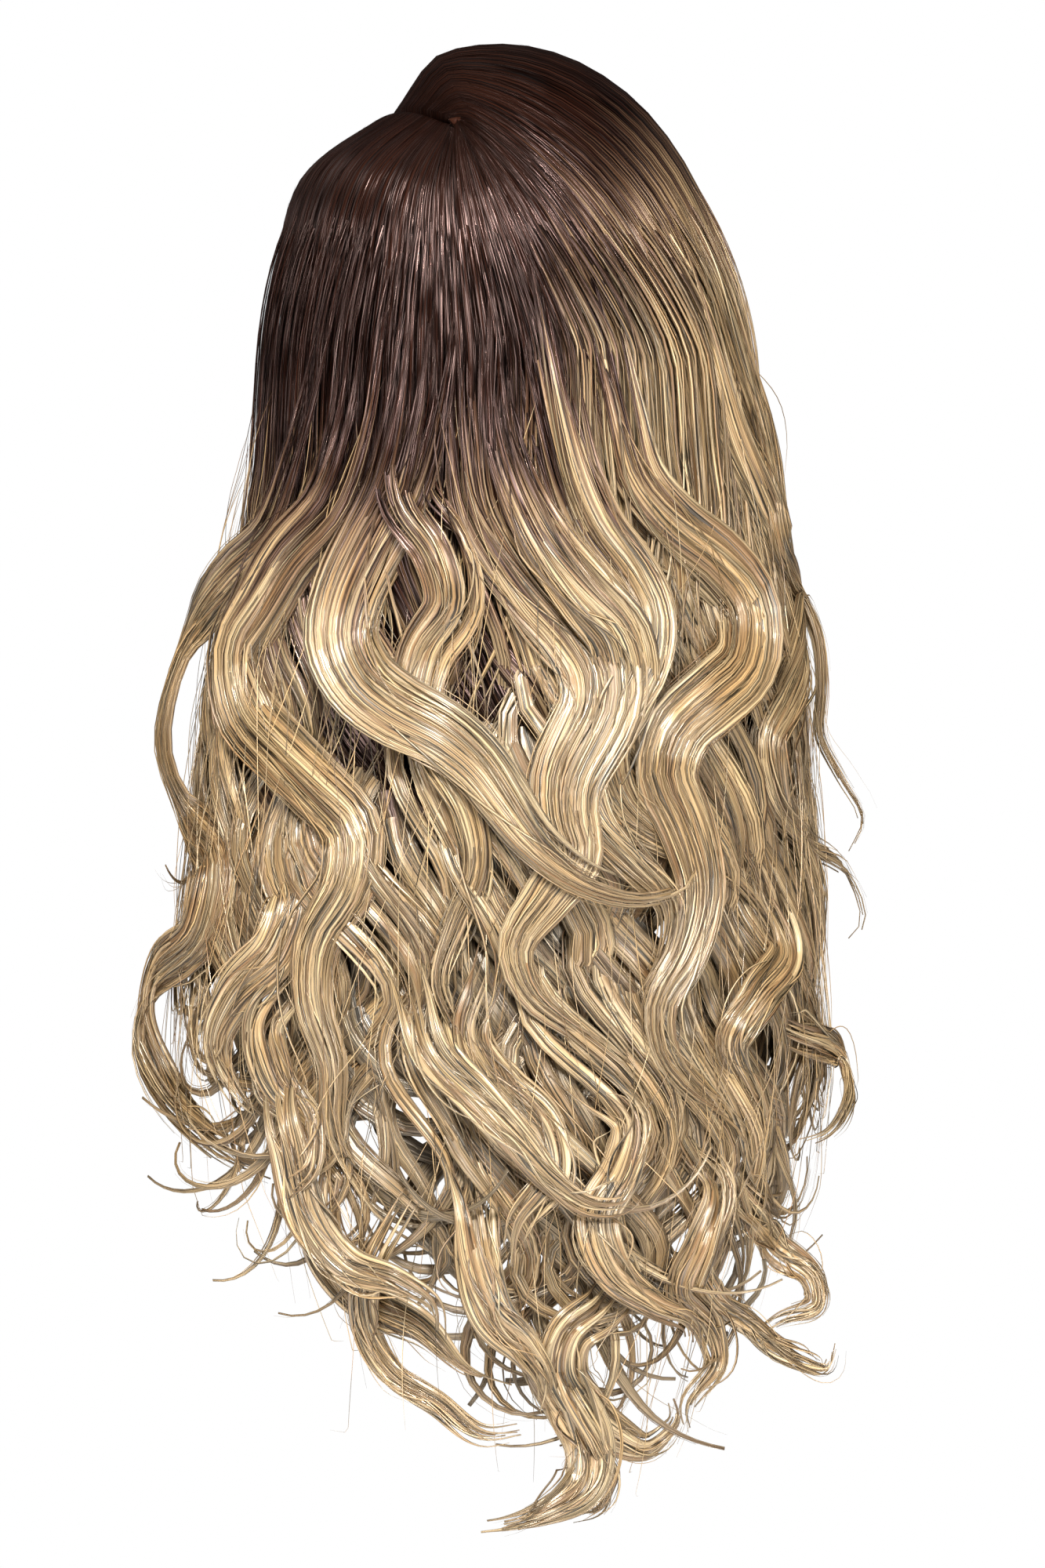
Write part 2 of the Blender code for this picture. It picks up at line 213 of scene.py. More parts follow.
def crown_place(azimuth, along, over=0.0):
    """Where hair that reaches the hang level at an azimuth lies, from 0 along at the parting.

    Returns the point and the way out of the hair there. over lifts it above the sheet.
    """
    start = RIGHT_FRONT if azimuth > BACK_SEAM else LEFT_FRONT
    share = (azimuth - start) / (BACK_SEAM - start)
    crowding = RIGHT_CROWDING if azimuth > BACK_SEAM else LEFT_CROWDING
    root = part_direction(1 - max(0.0, 1 - share) ** crowding)
    end = round_head(azimuth, HANG_LEVEL)
    angle = root.angle(end)
    turned = root * math.sin((1 - along) * angle) + end * math.sin(along * angle)
    direction = turned / math.sin(angle)
    return on_head(direction, SEAT_LIFT + hair_lift(direction, along, azimuth) + over)


def new_piece(name, mesh, material, slot, *stands_for):
    """Finishes a piece of hair: its material, body and the solids that it stands for."""
    piece = bpy.data.objects.new(name, mesh)
    bpy.context.scene.collection.objects.link(piece)
    mesh.materials.append(material)
    mesh.shade_smooth()
    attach(piece, "root")
    if stands_for:
        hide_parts(*stands_for)
    return piece


# Fibre: fine streaks follow the hair. Its UV map is in metres, across the hair and along it
# from the root. grown is how far past the end of the dark roots it is, in metres.
FIBRE_WIDTH = 0.0005
WISP_WIDTH = 0.0012
STREAK_WIDTH = 0.0045
DEEP_BROWN = (0.0035, 0.0011, 0.0007, 1.0)
RED_BROWN = (0.030, 0.0100, 0.0058, 1.0)
MID_BROWN = (0.150, 0.080, 0.042, 1.0)
DARK_BLONDE = (0.285, 0.154, 0.064, 1.0)
GOLD_BLONDE = (0.530, 0.330, 0.142, 1.0)
ASH_BLONDE = (0.660, 0.480, 0.258, 1.0)
ROOT_SHEEN = (1.0, 0.66, 0.58, 1.0)
PALE_SHEEN = (1.0, 0.91, 0.77, 1.0)
FIBRE_LENGTH = 0.09
WISP_LENGTH = 0.12
STREAK_LENGTH = 0.16
GLINT_LENGTH = 0.022
# The size of the fine dark lines of painted shade in the gaps between fibres
GAP_SHADE_LENGTH = 0.050
GAP_SHADE_WIDTH = 0.0008
FIBRE_SHARE = 0.45
WISP_SHARE = 0.55
WISP_RAGGED = 0.020
STREAK_RAGGED = 0.014
FADE_BEFORE = 0.010
FADE_AFTER = 0.050
CROWN_DIM_DROP = 0.050
FIBRE_RELIEF = 0.0006


def fibre_material(name):
    material = bpy.data.materials.new(name)
    material.use_nodes = True
    nodes, links = material.node_tree.nodes, material.node_tree.links
    shader = nodes["Principled BSDF"]

    def attribute(label):
        node = nodes.new("ShaderNodeAttribute")
        node.attribute_name = label
        return node.outputs["Fac"]

    def streaks(across, along, detail):
        stretch = nodes.new("ShaderNodeMapping")
        stretch.inputs["Scale"].default_value = (1 / across, 1 / along, 1.0)
        links.new(uv.outputs["UV"], stretch.inputs["Vector"])
        noise = nodes.new("ShaderNodeTexNoise")
        noise.noise_dimensions = "2D"
        noise.inputs["Scale"].default_value = 1.0
        noise.inputs["Detail"].default_value = detail
        noise.inputs["Roughness"].default_value = 0.6
        links.new(stretch.outputs["Vector"], noise.inputs["Vector"])
        return noise.outputs["Fac"]

    def ranged(value, low, high, start=0.0, end=1.0):
        node = nodes.new("ShaderNodeMapRange")
        node.inputs["From Min"].default_value = low
        node.inputs["From Max"].default_value = high
        node.inputs["To Min"].default_value = start
        node.inputs["To Max"].default_value = end
        links.new(value, node.inputs["Value"])
        return node.outputs["Result"]

    def worked(operation, first, second):
        node = nodes.new("ShaderNodeMath")
        node.operation = operation
        for socket, value in zip(node.inputs, (first, second)):
            if isinstance(value, float):
                socket.default_value = value
            else:
                links.new(value, socket)
        return node.outputs[0]

    def mixed(share, first, second, blend="MIX"):
        node = nodes.new("ShaderNodeMix")
        node.data_type = "RGBA"
        node.blend_type = blend
        if isinstance(share, float):
            node.inputs[0].default_value = share
        else:
            links.new(share, node.inputs[0])
        for socket, value in zip((node.inputs[6], node.inputs[7]), (first, second)):
            if isinstance(value, tuple):
                socket.default_value = value
            else:
                links.new(value, socket)
        return node.outputs[2]

    uv = nodes.new("ShaderNodeUVMap")
    uv.uv_map = "fibre"
    fine = streaks(FIBRE_WIDTH, FIBRE_LENGTH, 1.0)
    wisp = streaks(WISP_WIDTH, WISP_LENGTH, 1.0)
    broad = streaks(STREAK_WIDTH, STREAK_LENGTH, 1.0)
    both = worked("ADD", worked("MULTIPLY", fine, FIBRE_SHARE), worked("MULTIPLY", wisp, WISP_SHARE))
    ragged = worked(
        "ADD",
        ranged(wisp, 0.3, 0.7, -WISP_RAGGED, WISP_RAGGED),
        ranged(broad, 0.3, 0.7, -STREAK_RAGGED, STREAK_RAGGED),
    )
    grown = worked("ADD", attribute("grown"), ragged)
    pale_share = ranged(grown, -FADE_BEFORE, FADE_AFTER)
    dark = mixed(ranged(both, 0.42, 0.62), DEEP_BROWN, RED_BROWN)
    pale = mixed(attribute("tone"), GOLD_BLONDE, ASH_BLONDE)
    pale = mixed(ranged(broad, 0.32, 0.56), DARK_BLONDE, pale)
    half = mixed(ranged(grown, -0.025, 0.015), dark, MID_BROWN)
    colour = mixed(ranged(grown, 0.0, FADE_AFTER), half, pale)
    # The colour darkens where the fibres' relief is low: partly the fibres' own differing tone, partly
    # painted shade between them.
    fibre_tone_and_shade = ranged(both, 0.38, 0.56, 0.24, 1.0)
    colour = mixed(1.0, colour, fibre_tone_and_shade, "MULTIPLY")
    # Painted shade: fine dark lines in the gaps between fibres darken the colour to as little as 0.07.
    painted_gap_shade = ranged(streaks(GAP_SHADE_WIDTH, GAP_SHADE_LENGTH, 0.0), 0.27, 0.40, 0.07, 1.0)
    colour = mixed(1.0, colour, painted_gap_shade, "MULTIPLY")
    # Each piece's own random lightness, and painted shade that darkens the deeper layers of locks.
    colour = mixed(1.0, colour, attribute("shade"), "MULTIPLY")
    links.new(colour, shader.inputs["Base Color"])
    rough_fibre = ranged(both, 0.36, 0.60, 0.48, 0.26)
    rough = worked("ADD", rough_fibre, ranged(grown, -FADE_BEFORE, FADE_AFTER, -0.04, 0.0))
    links.new(rough, shader.inputs["Roughness"])
    glints = ranged(streaks(FIBRE_WIDTH, GLINT_LENGTH, 0.0), 0.50, 0.66, 0.03, 1.0)
    pale_sheen = mixed(1.0, PALE_SHEEN, ranged(both, 0.38, 0.56, 0.25, 1.0), "MULTIPLY")
    sheen = mixed(pale_share, ROOT_SHEEN, pale_sheen)
    height = nodes.new("ShaderNodeSeparateXYZ")
    links.new(nodes.new("ShaderNodeTexCoord").outputs["Object"], height.inputs[0])
    below_top = ranged(height.outputs["Z"], -CROWN_DIM_DROP, 0.0, 1.0, 0.15)
    glints = worked("MULTIPLY", glints, below_top)
    links.new(worked("MAXIMUM", glints, pale_share), shader.inputs["Specular IOR Level"])
    links.new(sheen, shader.inputs["Specular Tint"])
    shader.inputs["IOR"].default_value = 1.8
    shader.inputs["Anisotropic"].default_value = 0.80
    across = nodes.new("ShaderNodeTangent")
    across.direction_type = "UV_MAP"
    across.uv_map = "fibre"
    links.new(across.outputs["Tangent"], shader.inputs["Tangent"])
    relief = nodes.new("ShaderNodeBump")
    relief.inputs["Distance"].default_value = FIBRE_RELIEF
    links.new(both, relief.inputs["Height"])
    links.new(relief.outputs["Normal"], shader.inputs["Normal"])
    return material


fibre = fibre_material("hair_fibre")

# The lengths hang on from the crown: how the round of hair widens and deepens as it falls
LONGEST_DROP = 0.592
SPREAD_DROPS = (0.0, 0.10, 0.27, 0.46, 0.62, 0.72, 0.82, 0.92, 1.0)
SPREAD_WIDTHS = (1.00, 1.03, 1.16, 1.26, 1.33, 1.28, 1.12, 0.94, 0.72)
RIGHT_TUCK = 0.035
SPREAD_DEPTHS = (1.00, 0.98, 0.97, 1.00, 1.04, 1.04, 0.99, 0.94, 0.90)


def hang_place(azimuth, drop):
    """The outside of the lengths at a drop, before their waves, and the way out there."""
    edge, _ = crown_place(azimuth, 1.0)
    outward = Vector((edge.x, edge.y, 0.0)).normalized()
    fall = (drop - HANG_DROP) / (LONGEST_DROP - HANG_DROP)
    edge.x *= np.interp(fall, SPREAD_DROPS, SPREAD_WIDTHS)
    if edge.x < 0:
        edge.x *= 1 - RIGHT_TUCK * smooth_share(fall, 0.30, 0.55)
    edge.y *= np.interp(fall, SPREAD_DROPS, SPREAD_DEPTHS)
    return Vector((edge.x, edge.y, -drop)), outward


# The photograph's frame, which the camera repeats below
PHOTO_WIDTH, PHOTO_HEIGHT = 1333, 2000
PIXEL = 0.000326
CENTRE_X, CENTRE_Z = -0.0037, -0.2833
CAMERA_BACK = 3.1
OBJECT_BACK = 0.10


def pixel_size(y):
    """How wide a pixel of the photograph is at a place that lies y back."""
    return PIXEL * (CAMERA_BACK - y) / (CAMERA_BACK - OBJECT_BACK)


# Where the dark of the roots ends from behind, in the photograph's pixels
EdgePoint = namedtuple("EdgePoint", "across down")
DARK_EDGE = (
    EdgePoint(320, 660),
    EdgePoint(400, 630),
    EdgePoint(480, 690),
    EdgePoint(560, 660),
    EdgePoint(620, 610),
    EdgePoint(680, 540),
    EdgePoint(725, 440),
    EdgePoint(760, 310),
    EdgePoint(805, 245),
    EdgePoint(850, 205),
    EdgePoint(900, 185),
)
BACK_FIRST, BACK_LAST = 95, 281
DARK_AZIMUTHS = tuple(range(BACK_FIRST, BACK_LAST, 5))
REACH_STEPS = 50
REACH_STEP = 0.005


def dark_above(across, down):
    """How many pixels of dark lie below a pixel of the photograph."""
    edge = np.interp(across, [p.across for p in DARK_EDGE], [p.down for p in DARK_EDGE])
    return float(edge) - down


def dark_reach(azimuth):
    """How long the dark of the roots is in the hair that hangs at an azimuth."""
    last, length = crown_place(azimuth, 0.0)[0], 0.0
    for step in range(1, 2 * REACH_STEPS):
        if step <= REACH_STEPS:
            point, _ = crown_place(azimuth, step / REACH_STEPS)
        else:
            point, _ = hang_place(azimuth, HANG_DROP + (step - REACH_STEPS) * REACH_STEP)
        length += (point - last).length
        last = point
        scale = pixel_size(point.y)
        across = PHOTO_WIDTH / 2 - (point.x - CENTRE_X) / scale
        down = PHOTO_HEIGHT / 2 - (point.z - CENTRE_Z) / scale
        if dark_above(across, down) < 0:
            break
    return length


DARK_LENGTHS = tuple(dark_reach(azimuth) for azimuth in DARK_AZIMUTHS)


def dark_length(azimuth):
    return float(np.interp(azimuth, DARK_AZIMUTHS, DARK_LENGTHS))


def hair_depth(azimuth):
    """How thick the hair is over the cap where it starts to hang."""
    return hair_lift(round_head(azimuth, HANG_LEVEL), 1.0, azimuth)


def sheet_sink(azimuth, along):
    """How deep the combed sheet lies below the outside of the hair, to pass under the lengths."""
    return hair_depth(azimuth) * SHEET_SINK * smooth_share(along, SHEET_SINK_START, 1.0)


def set_values(mesh, **values):
    for label, numbers in values.items():
        layer = mesh.attributes.new(label, "FLOAT", "POINT")
        layer.data.foreach_set("value", np.asarray(numbers, dtype=np.float32))


CROWN_COLUMNS = 110
CROWN_ROWS = 34
SHEET_WALL = 0.003
SHEET_SINK = 0.40
SHEET_LOW_SINK = 0.62
SHEET_BEND = 0.68
SHEET_DROP = 0.21
SHEET_SINK_START = 0.35
SHEET_CROWDING = 1.5
SEAM_SHORT = 0.9999
SHEET_DARK_START = 0.01
SHEET_DARK_MORE = 2.5
SHEET_GIRTH = 0.26
SHEET_TONE = 0.4
SHEET_SHADE = 0.85


def unit_grid(columns, rows):
    """A grid from 0 to 1 each way, with a UV map, to be bent into a sheet or a tube."""
    maker = bmesh.new()
    maker.loops.layers.uv.new("fibre")
    bmesh.ops.create_grid(
        maker,
        x_segments=columns,
        y_segments=rows,
        size=0.5,
        matrix=Matrix.Translation((0.5, 0.5, 0.0)),
        calc_uvs=True,
    )
    return maker


def rim_fall(azimuth):
    """How far the sheet's ragged rim hangs, as a share of its full drop."""
    return 0.72 + 0.28 * math.sin(azimuth * 0.61) * math.sin(azimuth * 0.23)


def crown_sheet(name, start, stands_for):
    maker = unit_grid(CROWN_COLUMNS, CROWN_ROWS)
    grown, lengths, arcs = [], {}, {}
    for vert in maker.verts:
        azimuth = start + (BACK_SEAM - start) * vert.co.x * SEAM_SHORT
        column = round(vert.co.x * CROWN_COLUMNS)
        if vert.co.y < SHEET_BEND:
            along = (vert.co.y / SHEET_BEND) ** SHEET_CROWDING
            point, _ = crown_place(azimuth, along, -sheet_sink(azimuth, along))
        else:
            fall = (vert.co.y - SHEET_BEND) / (1 - SHEET_BEND)
            hung = (SHEET_DROP - HANG_DROP) * fall * rim_fall(azimuth)
            point, out = hang_place(azimuth, HANG_DROP + hung)
            point -= out * hair_depth(azimuth) * (SHEET_SINK + (SHEET_LOW_SINK - SHEET_SINK) * fall)
        last, length = arcs.get(column, (point, 0.0))
        length += (point - last).length
        arcs[column] = (point, length)
        vert.co = point
        low = max(0.0, -point.z - HANG_DROP - SHEET_DARK_START)
        lengths[vert] = length
        grown.append(length - dark_length(azimuth) - SHEET_DARK_MORE * low)
    uv = maker.loops.layers.uv["fibre"]
    for face in maker.faces:
        for loop in face.loops:
            loop[uv].uv = (loop[uv].uv.x * SHEET_GIRTH, lengths[loop.vert])
    mesh = bpy.data.meshes.new(name)
    bmesh.ops.recalc_face_normals(maker, faces=maker.faces)
    maker.normal_update()
    facing = sum(face.normal.dot(face.calc_center_median() - HEAD_CENTRE) for face in maker.faces)
    if facing < 0:
        bmesh.ops.reverse_faces(maker, faces=maker.faces)
    maker.to_mesh(mesh)
    maker.free()
    set_values(
        mesh,
        grown=grown,
        tone=[SHEET_TONE] * len(grown),
        shade=[SHEET_SHADE] * len(grown),
    )
    sheet = new_piece(name, mesh, fibre, "hair_roots", stands_for)
    wall = sheet.modifiers.new("wall", "SOLIDIFY")
    wall.thickness = SHEET_WALL
    wall.offset = -1.0


crown_sheet("combed_crown_left", LEFT_FRONT, "crown_hair_left")
crown_sheet("combed_crown_right", RIGHT_FRONT, "crown_hair_right")

# Waved lengths
# The lengths hang from the crown in clumps of a few locks that swing together in waves. Each
# lock is a flattened bundle of fibres with finer wisps laid along it, worn thin at its tip.
LOCK_RINGS = 56
LOCK_SIDES = 6
WISP_SIDES = 3
FLATNESS = 0.4
WISP_RINGS = 22
CROWN_STEPS = 24
HANG_STEPS = 100
JOIN_PASSES = 40
JOIN_BELOW = 18
JOIN_PULL = 0.6
WAVE_START = 0.120
WAVE_FULL = 0.26
WAVE_OVERRUN = 1.05
TOP_WAVELENGTH = 0.165
TIP_WAVELENGTH = 0.086
WAVE_LAG = 0.5
GATHERED_DROP = 0.42
BULGE_LOSS = 0.4
BULGE_LOSS_START, BULGE_LOSS_END = 0.30, 0.50
CURL_EASE = 1.3
TIP_CROWDING = 0.45
OUT_TILT = Vector((0, 0, 0.001))
GIRTH_WIDTHS = 8
STREAK_SHIFT = 0.0371
ARC_STEPS = 6
WORN_START = 0.06

TIP_AZIMUTHS = (52, 67, 82, 97, 112, 127, 142, 157, 172, 194, 217, 232, 247, 262, 277, 292, 307)
TIP_SHARES = (
    0.60, 0.63, 0.67, 0.71, 0.75, 0.80, 0.86, 0.92, 0.96, 1.0,
    0.95, 0.91, 0.84, 0.77, 0.71, 0.64, 0.60,
)


def tip_drop(azimuth):
    return LONGEST_DROP * float(np.interp(azimuth, TIP_AZIMUTHS, TIP_SHARES))


def wave_turns(drop):
    full = LONGEST_DROP - WAVE_START
    change = TIP_WAVELENGTH - TOP_WAVELENGTH
    run = max(0.0, drop - WAVE_START)
    return full / change * math.log(1 + change * min(run, full * WAVE_OVERRUN) / (full * TOP_WAVELENGTH))


def arc_lengths(points):
    return np.concatenate([[0], np.cumsum(np.linalg.norm(np.diff(points, axis=0), axis=1))])


def curled(points, outs, side_turn, out_turn, curl_length):
    """Rolls up the end of a lock, by degrees in the plane of the hair and out of it."""
    steps = np.linalg.norm(np.diff(points, axis=0), axis=1)
    left = np.cumsum(steps[::-1])[::-1]
    first = max(2, int(np.argmax(left < curl_length)))
    way = points[first] - points[first - 1]
    way /= np.linalg.norm(way)
    out = outs[first] - way * outs[first].dot(way)
    out /= np.linalg.norm(out)
    aside = np.cross(way, out)
    count = len(points) - first
    for k in range(count):
        bent = ((k + 1) / count) ** CURL_EASE
        a, b = math.radians(side_turn) * bent, math.radians(out_turn) * bent
        heading = way * math.cos(a) * math.cos(b) + aside * math.sin(a) + out * math.sin(b)
        heading /= np.linalg.norm(heading)
        points[first + k] = points[first + k - 1] + heading * steps[first + k - 1]
    return points


def resampled(values, reach, at):
    """Reads rows of values that lie at reach off at other places along it."""
    return np.stack([np.interp(at, reach, values[:, axis]) for axis in range(3)], axis=1)


def lock_line(
    azimuth, gather, length, inset, swing, bulge, phase, stretch, start, rings,
    curl=None, below=0.002, merge=0.3,
):
    """The centre line of a lock as evenly laid points and the ways out there.

    It leaves the crown's sheet at a share of the way from the parting, and drifts to gather, an
    azimuth. phase is in turns. It starts below the sheet and lies inset under the outside.
    """
    points, outs = [], []
    for step in range(CROWN_STEPS):
        along = start + (1 - start) * step / CROWN_STEPS
        under = sheet_sink(azimuth, along) + below
        share = smooth_share(along, start, min(1.0, start + merge))
        point, out = crown_place(azimuth, along, -under * (1 - share) - inset * share)
        points.append(point)
        outs.append(out)
    for step in range(HANG_STEPS):
        drop = HANG_DROP + (length - HANG_DROP) * step / (HANG_STEPS - 1)
        here = azimuth + (gather - azimuth) * smooth_share(drop, HANG_DROP, GATHERED_DROP)
        point, out = hang_place(here, drop)
        around = Vector((out.y, -out.x, 0.0))
        grown = smooth_share(drop, WAVE_START, WAVE_FULL)
        turn = 2 * math.pi * (wave_turns(drop) * stretch + WAVE_LAG * math.radians(here) + phase)
        point -= around * swing * grown * math.sin(turn)
        depth = bulge * (1 - BULGE_LOSS * smooth_share(drop, BULGE_LOSS_START, BULGE_LOSS_END))
        point += out * (depth * grown * math.cos(turn) - inset)
        points.append(point)
        outs.append((out + OUT_TILT).normalized())
    points = np.array([tuple(p) for p in points])
    outs = np.array([tuple(o) for o in outs])
    last = CROWN_STEPS + JOIN_BELOW
    for _ in range(JOIN_PASSES):
        between = (points[2 : last + 1] + points[: last - 1]) / 2
        points[1:last] += (between - points[1:last]) * JOIN_PULL
    if curl:
        points = curled(points, outs, *curl)
    reach = arc_lengths(points)
    share = np.linspace(0, 1, rings)
    at = reach[-1] * ((1 + TIP_CROWDING) * share - TIP_CROWDING * share * share)
    return resampled(points, reach, at), resampled(outs, reach, at)


def tube_template(sides, rings):
    """A closed tube round +Z from 0 to 1, with a UV map of its unrolled wall."""
    maker = unit_grid(sides, rings - 1)
    for vert in maker.verts:
        angle = 2 * math.pi * vert.co.x
        flat = math.copysign(abs(math.cos(angle)) ** FLATNESS, math.cos(angle))
        vert.co = (flat, math.sin(angle), vert.co.y)
    bmesh.ops.remove_doubles(maker, verts=maker.verts, dist=1e-5)
    bmesh.ops.holes_fill(maker, edges=maker.edges, sides=sides)
    bmesh.ops.recalc_face_normals(maker, faces=maker.faces)
    if maker.calc_volume(signed=True) < 0:
        bmesh.ops.reverse_faces(maker, faces=maker.faces)
    mesh = bpy.data.meshes.new("tube")
    maker.to_mesh(mesh)
    maker.free()
    return mesh


Strip = namedtuple("Strip", "points outs widths depths root dark tone shade lean")


def frames(points, outs, lean):
    """The ways across and out of a strip at each of its points."""
    ways = np.gradient(points, axis=-2)
    ways /= np.linalg.norm(ways, axis=-1, keepdims=True)
    across = np.cross(outs, ways)
    across /= np.linalg.norm(across, axis=-1, keepdims=True)
    out = np.cross(ways, across)
    lean = lean[..., None]
    return across * np.cos(lean) + out * np.sin(lean), out * np.cos(lean) - across * np.sin(lean)


def swept(name, strips, sides):
    """One mesh of many tubes, each bent along its strip's points."""
    rings = len(strips[0].points)
    single = tube_template(sides, rings)
    holder = bpy.data.objects.new("tube", single)
    bpy.context.scene.collection.objects.link(holder)
    copies = holder.modifiers.new("copies", "ARRAY")
    copies.count = len(strips)
    copies.use_relative_offset = False
    copies.use_constant_offset = True
    copies.constant_offset_displace = (0, 0, 0)
    mesh = bpy.data.meshes.new_from_object(holder.evaluated_get(bpy.context.evaluated_depsgraph_get()))
    mesh.name = name
    verts_each = len(single.vertices)
    bpy.data.objects.remove(holder)

    points = np.array([s.points for s in strips])
    outs = np.array([s.outs for s in strips])
    wide, thick = frames(points, outs, np.array([s.lean for s in strips]))
    widths = np.array([s.widths for s in strips])[..., None]
    depths = np.array([s.depths for s in strips])[..., None]
    steps = np.linalg.norm(np.diff(points, axis=1), axis=2)
    arcs = np.concatenate([np.zeros((len(strips), 1)), np.cumsum(steps, axis=1)], axis=1)
    arcs += np.array([s.root for s in strips])[:, None]

    count = len(mesh.vertices)
    flat = np.empty(count * 3, dtype=np.float32)
    mesh.vertices.foreach_get("co", flat)
    flat = flat.reshape(-1, 3)
    which = np.arange(count) // verts_each
    ring = np.rint(flat[:, 2] * (rings - 1)).astype(int)
    placed = (
        points[which, ring]
        + wide[which, ring] * widths[which, ring] * flat[:, :1]
        + thick[which, ring] * depths[which, ring] * flat[:, 1:2]
    )
    mesh.vertices.foreach_set("co", placed.astype(np.float32).ravel())

    corner = np.empty(len(mesh.loops), dtype=np.int32)
    mesh.loops.foreach_get("vertex_index", corner)
    uv = np.empty(len(mesh.loops) * 2, dtype=np.float32)
    mesh.uv_layers["fibre"].data.foreach_get("uv", uv)
    uv = uv.reshape(-1, 2)
    girths = np.array([GIRTH_WIDTHS * max(s.widths) for s in strips])
    shifts = np.arange(len(strips)) * STREAK_SHIFT
    lock = which[corner]
    uv[:, 0] = uv[:, 0] * girths[lock] + shifts[lock]
    uv[:, 1] = arcs[lock, ring[corner]]
    mesh.uv_layers["fibre"].data.foreach_set("uv", uv.ravel())

    dark = np.array([s.dark for s in strips])
    tone = np.array([s.tone for s in strips])
    shade = np.array([s.shade for s in strips])
    set_values(mesh, grown=arcs[which, ring] - dark[which], tone=tone[which], shade=shade[which])
    mesh.update()
    return mesh


def root_arc(azimuth, start):
    """The length of hair from the parting to a share of the way to the hang level."""
    points = [crown_place(azimuth, start * k / ARC_STEPS)[0] for k in range(ARC_STEPS + 1)]
    return sum((b - a).length for a, b in zip(points, points[1:]))


def worn(share, first, last, left):
    """A lock's thickness along it: pointed where it starts, and worn away at its tip."""
    begun = WORN_START + (1 - WORN_START) * smooth_share(share, 0.0, first)
    return begun * (1 - (1 - left) * smooth_share(share, last, 1.0))


# Wisps: how many are single fibres, how far they stray off their lock, and how many are frizzy
FINE_SHARE = 0.5
STRAY_REACH = 0.0016
FRIZZY_SHARE = 0.22
FRIZZ_TIMES = 3.0
FRIZZ_LIMIT = 1.6
LEAST_SPREAD = 0.0022
LEAST_HEIGHT = 0.0012


def wisps_on(strip, count):
    """Wisps and single fibres that lie along part of a lock, and stray off it here and there."""
    made = []
    rings = len(strip.points)
    wide, thick = frames(strip.points, strip.outs, strip.lean)
    arcs = arc_lengths(strip.points)
    share = np.linspace(0, 1, WISP_RINGS)
    for _ in range(count):
        first = int(chance.uniform(0, 1) ** 0.75 * (rings - WISP_RINGS + 0.99))
        part = slice(first, first + WISP_RINGS)
        angles = chance.uniform(0.0, 1.0) * math.pi + chance.normal(0, 0.35) * share
        rise = smooth_share(share, 0.0, 0.2) * (1 - 0.5 * smooth_share(share, 0.8, 1.0))
        off = 0.80 + 0.32 * rise
        frizz = STRAY_REACH * (FRIZZ_TIMES if chance.uniform() < FRIZZY_SHARE else 1.0)
        free = frizz * np.clip(chance.normal(), -FRIZZ_LIMIT, FRIZZ_LIMIT)
        free = free * np.sin(share * chance.uniform(2.5, 7.0) + chance.uniform(0, 6)) * rise
        lifted = 0.6 * frizz * min(FRIZZ_LIMIT, abs(chance.normal()))
        lifted = lifted * smooth_share(share, chance.uniform(0.2, 0.7), 1.0)
        sideways = np.maximum(strip.widths[part], LEAST_SPREAD) * np.cos(angles) * off + free
        upwards = np.maximum(strip.depths[part], LEAST_HEIGHT) * np.sin(angles) * off + lifted
        points = strip.points[part] + wide[part] * sideways[:, None] + thick[part] * upwards[:, None]
        if chance.uniform() < FINE_SHARE:
            width = depth = chance.uniform(0.00012, 0.00022)
        else:
            width, depth = chance.uniform(0.0004, 0.0009), chance.uniform(0.0002, 0.0003)
        shape = worn(share, 0.25, 0.6, 0.15)
        made.append(
            Strip(
                points,
                strip.outs[part],
                width * shape,
                depth * shape,
                strip.root + arcs[first],
                strip.dark + chance.normal(0, 0.012),
                chance.uniform(0.0, 1.0),
                strip.shade * chance.uniform(0.78, 1.30),
                strip.lean[part],
            )
        )
    return made


def new_locks(name, bodies, wisps, *stands_for):
    """A piece of locks, and a piece of the wisps that lie on them."""
    new_piece(name, swept(name, bodies, LOCK_SIDES), fibre, "hair_lengths", *stands_for)
    new_piece(name + "_wisps", swept(name + "_wisps", wisps, WISP_SIDES), fibre, "hair_lengths")


Group = namedtuple("Group", "piece node first last curl")
GROUPS = (
    Group("face_waves_left", "face_locks_left", 52, 82, 0.06),
    Group("side_waves_left", "side_locks_left", 82, 127, 0.06),
    Group("back_waves_left", "back_locks_left", 127, 172, 0.09),
    Group("back_waves_centre", "back_locks_centre", 172, 217, 0.10),
    Group("back_waves_right", "back_locks_right", 217, 247, 0.08),
    Group("side_waves_right", "side_locks_right", 247, 277, 0.05),
    Group("face_waves_right", "face_locks_right", 277, 307, 0.06),
)
CLUMP_AZIMUTH = 9.0
CLUMP_MARGIN = 2
CLUMP_SPREAD = 1.15
CLUMP_GATHER = 0.6
LOCK_MARGIN = 0.6
DARK_INSIDE_FULL, DARK_INSIDE_END = 180, 205
Layer = namedtuple(
    "Layer",
    "locks wisps shift depth_share length start shade dark_more half_width half_depth",
)
# Deeper layers darken their locks' colour to 0.70 and 0.46: painted shade for the shadow of the locks
# above them.
LAYERS = (
    Layer(4, 13, 0.5, 0.22, 1.00, 0.35, 1.00, 0.045, 0.0042, 0.0013),
    Layer(3, 5, 0.0, 0.42, 0.99, 0.60, 0.70, 0.095, 0.0058, 0.0016),
    Layer(2, 0, 0.5, 0.64, 0.96, 0.75, 0.46, 0.130, 0.0085, 0.0022),
)

